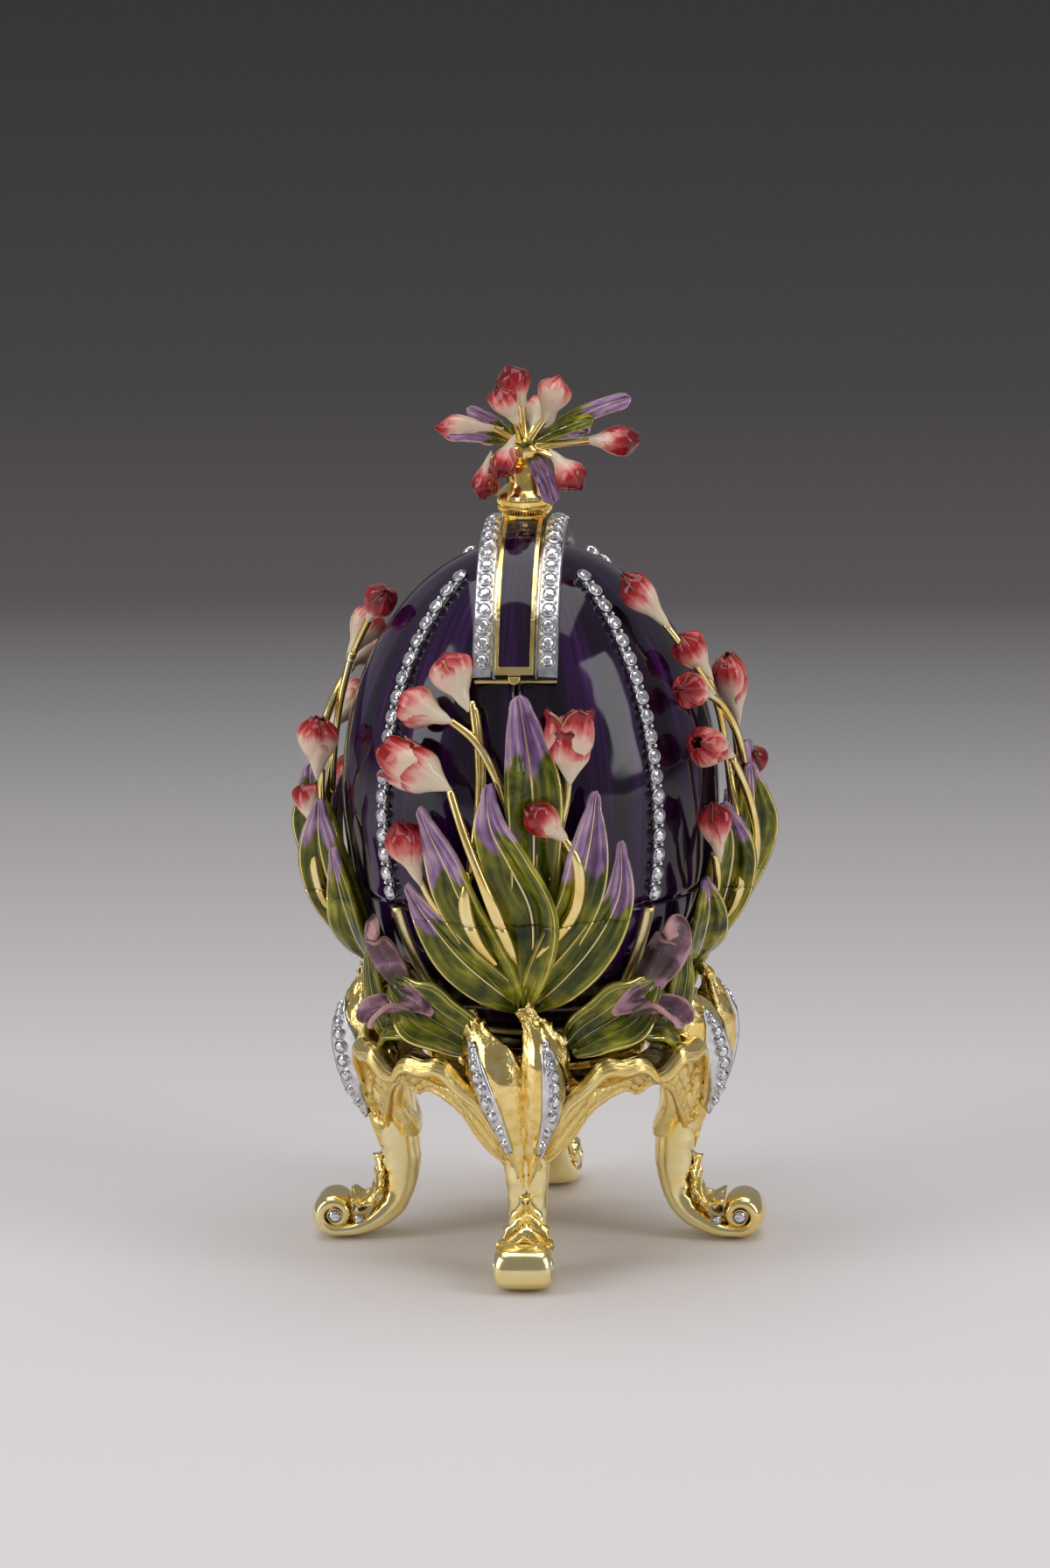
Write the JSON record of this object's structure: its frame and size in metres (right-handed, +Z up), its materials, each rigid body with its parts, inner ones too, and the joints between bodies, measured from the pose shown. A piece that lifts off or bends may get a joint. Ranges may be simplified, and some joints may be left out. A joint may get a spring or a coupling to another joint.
{
  "type": "egg trinket box",
  "caption": "Enamelled egg-shaped trinket box with side-hinged upper doors, a lift-over clasp bar with a flower finial, applied tulip sprays and a gold stand on cabriole legs.",
  "frame": {"origin": "on the floor, under the middle of the egg and of the four feet", "axes": "+Z up, front (the clasp's free end and the spray in the picture) towards -Y, hinge at the back towards +Y"},
  "size_m": [0.0694, 0.0702, 0.1331],
  "materials": {
    "polished_gold": "gold plated, polished",
    "rhodium_silver": "bright plated, set with clear stones",
    "purple_enamel": "glossy translucent enamel on cast metal",
    "green_enamel": "glossy enamel with gold edges",
    "mauve_enamel": "glossy enamel",
    "tulip_enamel": "glossy enamel shaded from cream to red",
    "hinge_steel": "drawn steel"
  },
  "bodies": {
    "stand": {"base_screw": "hinge_steel", "bowl": "purple_enamel", "bowl_liner": "polished_gold", "bowl_straps": "polished_gold", "clasp_pin": "hinge_steel", "cup_ring": "polished_gold", "front_leaf_base": "green_enamel", "hinge_pin": "hinge_steel", "hinge_spine": "polished_gold", "leaf_scroll_back_left": "mauve_enamel", "leaf_scroll_back_right": "mauve_enamel", "leaf_scroll_front_left": "mauve_enamel", "leaf_scroll_front_right": "mauve_enamel", "left_leaf_base": "green_enamel", "leg_back": "polished_gold", "leg_front": "polished_gold", "leg_left": "polished_gold", "leg_right": "polished_gold", "right_leaf_base": "green_enamel", "saddle_plate": "polished_gold", "tulip_head_back": "polished_gold", "tulip_head_front": "polished_gold", "tulip_head_left": "polished_gold", "tulip_head_right": "polished_gold"},
    "left_door": {"front_spray": "green_enamel", "front_tulip_1": "tulip_enamel", "front_tulip_2": "tulip_enamel", "front_tulip_3": "tulip_enamel", "front_tulip_4": "tulip_enamel", "front_tulip_5": "tulip_enamel", "front_tulip_6": "tulip_enamel", "left_back_stone_row": "rhodium_silver", "left_clasp_rail": "rhodium_silver", "left_front_stone_row": "rhodium_silver", "left_hinge_leaf": "polished_gold", "left_shell": "purple_enamel", "left_spray": "green_enamel"},
    "right_door": {"right_back_stone_row": "rhodium_silver", "right_clasp_rail": "rhodium_silver", "right_front_stone_row": "rhodium_silver", "right_hinge_leaf": "polished_gold", "right_shell": "purple_enamel", "right_spray": "green_enamel"},
    "clasp": {"clasp_bar": "polished_gold", "clasp_inlay_back": "purple_enamel", "clasp_inlay_front": "purple_enamel", "finial_collar": "polished_gold", "finial_cup": "polished_gold", "finial_leaves": "green_enamel", "finial_tulip_back": "tulip_enamel", "finial_tulip_back_left": "tulip_enamel", "finial_tulip_front": "tulip_enamel", "finial_tulip_left": "tulip_enamel", "finial_tulip_low_left": "tulip_enamel", "finial_tulip_low_right": "tulip_enamel", "finial_tulip_right": "tulip_enamel", "finial_tulip_top": "tulip_enamel", "finial_tulip_top_front": "tulip_enamel", "finial_tulip_top_right": "tulip_enamel"}
  },
  "joints": [
    {"name": "left_door_hinge", "type": "hinge", "parent": "stand", "child": "left_door", "pos_m": [0, 0.0309, 0.07], "axis": [0, 0, -1], "range_deg": [0, 70]},
    {"name": "right_door_hinge", "type": "hinge", "parent": "stand", "child": "right_door", "pos_m": [0, 0.0309, 0.07], "axis": [0, 0, 1], "range_deg": [0, 70]},
    {"name": "clasp_pivot", "type": "hinge", "parent": "stand", "child": "clasp", "pos_m": [0, 0.02795, 0.08931], "axis": [-1, 0, 0], "range_deg": [0, 50]}
  ]
}
